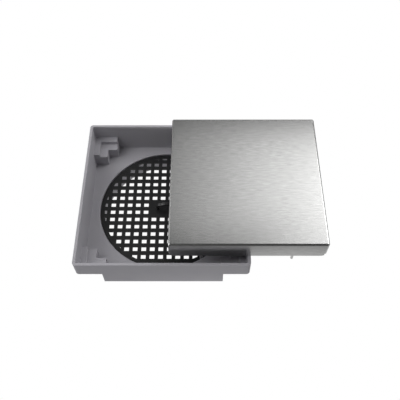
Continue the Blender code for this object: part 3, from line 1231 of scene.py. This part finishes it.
@dataclass
class Studio:
    """Pale floor, soft light and the camera."""

    tray: Tray
    lens_mm: float = 50.0
    sensor_mm: float = 36.0
    shift_x: float = -0.0095
    tilt: float = radians(31.66)
    camera_offset: Place = (35.4 * MM, -271.6 * MM, 422.8 * MM)
    floor_half: float = 3.0
    floor_shade: float = 0.08
    pools: tuple[Pool, ...] = (
        Pool((0.09, -0.07), 3.0, (0.0, 0.06), 0.8),
        Pool((-0.03, -0.01), 1.3, (0.05, 0.11), 0.6),
    )
    room_light: float = 0.04
    front_glow: float = 0.14
    wall_glow: float = 0.55
    side_pull: float = 1.5
    turn: Point = (-0.6, 0.5)
    wall_top: Point = (0.4, 0.7)
    panels: tuple[Panel, ...] = (
        Panel("key", (-0.425, -0.2, 1.0), (0.35, 0.5), 2.4),
        Panel("left", (-1.1, 0.0, 1.0), (1.0, 1.0), 2.6),
        Panel("back_left_far", (-1.0, 0.675, 1.0), (1.2, 0.45), 0.8),
        Panel("back_left", (-0.125, 0.69, 1.0), (0.15, 0.38), 0.2),
        Panel("back_middle", (0.04, 0.66, 1.0), (0.18, 0.44), 0.6),
        Panel("back_right", (0.19, 0.68, 1.0), (0.12, 0.36), 1.1),
        Panel("back_right_wide", (0.375, 0.68, 1.0), (0.25, 0.36), 1.3),
        Panel("back_right_far", (1.35, 0.68, 1.0), (1.7, 0.36), 4.1),
        Panel("right_near", (0.19, 0.31, 1.0), (0.12, 0.38), 0.32),
        Panel("right", (0.375, 0.31, 1.0), (0.25, 0.38), 1.0),
        Panel("right_far", (1.35, 0.31, 1.0), (1.7, 0.38), 3.5),
        Panel("low_left", (-0.8, -1.0, 0.0), (0.9, 0.09), 19.0, aimed=True),
        Panel("low_right", (0.9, -0.9, 0.0), (0.9, 0.09), 2.0, aimed=True),
    )

    def build(self) -> None:
        """Sets up the camera, the floor and the light."""
        bpy.context.scene.view_settings.view_transform = "Standard"
        self.camera()
        self.floor()
        self.world()
        self.lights()

    def camera(self) -> None:
        """Looks down on the drain from the front, a little right of the tray's centre."""
        data = bpy.data.cameras.new("camera")
        data.lens = self.lens_mm
        data.sensor_width = self.sensor_mm
        data.shift_x = self.shift_x
        data.clip_start = 0.01
        data.clip_end = 50.0
        camera = bpy.data.objects.new("camera", data)
        camera.location = self.tray.centre + Vector(self.camera_offset)
        camera.rotation_euler = (self.tilt, 0.0, 0.0)
        bpy.context.scene.collection.objects.link(camera)
        bpy.context.scene.camera = camera

    def floor(self) -> None:
        """Lays a plain white floor that the camera sees evenly lit.

        In the drain's reflections it is a dim floor with soft pools of painted glow under the drain and in
        front, which also shine on the drain.
        """
        mesh = bmesh.new()
        bmesh.ops.create_grid(mesh, x_segments=1, y_segments=1, size=self.floor_half)
        floor = object_from("floor", mesh)
        look = bpy.data.materials.new("white_floor")
        look.use_nodes = True
        tree = look.node_tree
        tree.nodes.clear()
        seen = add_node(tree, "ShaderNodeLightPath").outputs["Is Camera Ray"]
        colour = {"Color": (self.floor_shade,) * 3 + (1.0,)}
        paint = add_node(tree, "ShaderNodeBsdfDiffuse", inputs=colour).outputs[0]
        place = add_node(tree, "ShaderNodeTexCoord").outputs["Object"]
        # Painted glow: the pools are emission on the floor, not light from a lamp.
        glow: Any = 0.0
        for pool in self.pools:
            squeeze = Vector((1 / pool.stretch, 1.0, 1.0))
            drawn_in = reckon(tree, "MULTIPLY", place, squeeze, kind="ShaderNodeVectorMath")
            middle = Vector((*pool.middle, 0.0)) * squeeze
            ends = {0: drawn_in, 1: middle}
            away = add_node(tree, "ShaderNodeVectorMath", {"operation": "DISTANCE"}, ends).outputs["Value"]
            glow = reckon(tree, "ADD", ramp(tree, away, pool.reach, (pool.glow, 0.0), soft=True), glow)
        light = add_node(tree, "ShaderNodeEmission", inputs={"Strength": glow}).outputs[0]
        lit = add_node(tree, "ShaderNodeAddShader", inputs={0: paint, 1: light}).outputs[0]
        white = add_node(tree, "ShaderNodeEmission", inputs={"Strength": 1.0}).outputs[0]
        both = add_node(tree, "ShaderNodeMixShader", inputs={0: seen, 1: lit, 2: white}).outputs[0]
        add_node(tree, "ShaderNodeOutputMaterial", inputs={"Surface": both})
        floor.data.materials.append(look)

    def world(self) -> None:
        """Gives the room a dim ceiling and bright walls, with a dim stretch straight in front."""
        world = bpy.data.worlds.new("studio")
        bpy.context.scene.world = world
        world.use_nodes = True
        tree = world.node_tree
        tree.nodes.clear()
        seen = add_node(tree, "ShaderNodeLightPath").outputs["Is Camera Ray"]
        way = add_node(tree, "ShaderNodeTexCoord").outputs["Generated"]
        parts = add_node(tree, "ShaderNodeSeparateXYZ", inputs={0: way}).outputs
        aside = reckon(tree, "ABSOLUTE", parts["X"])
        turned = reckon(tree, "MULTIPLY_ADD", aside, self.side_pull, parts["Y"])
        walls = ramp(tree, turned, self.turn, (self.front_glow, self.wall_glow), soft=True)
        glow = ramp(tree, parts["Z"], self.wall_top, (walls, self.room_light), soft=True)
        room = add_node(tree, "ShaderNodeBackground", inputs={"Color": WHITE, "Strength": glow}).outputs[0]
        white = add_node(tree, "ShaderNodeBackground", inputs={"Color": WHITE}).outputs[0]
        both = add_node(tree, "ShaderNodeMixShader", inputs={0: seen, 1: room, 2: white}).outputs[0]
        add_node(tree, "ShaderNodeOutputWorld", inputs={"Surface": both})

    def lights(self) -> None:
        """Hangs the panel lights, which the camera doesn't see."""
        for panel in self.panels:
            data = bpy.data.lights.new(panel.name, "AREA")
            data.shape = "RECTANGLE"
            data.size, data.size_y = panel.size
            data.energy = panel.brightness * pi * data.size * data.size_y
            light = bpy.data.objects.new(panel.name, data)
            light.location = self.tray.centre + Vector(panel.middle)
            if panel.aimed:
                light.rotation_euler = Vector(panel.middle).to_track_quat("Z", "Y").to_euler()
            light.visible_camera = False
            bpy.context.scene.collection.objects.link(light)


def main() -> None:
    """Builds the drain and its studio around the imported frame."""
    logging.basicConfig(level=logging.INFO, format="%(name)s: %(message)s")
    tray = Tray()
    tray.build()
    Strainer().build()
    Cover().build()
    Studio(tray).build()


if __name__ == "__main__":
    main()
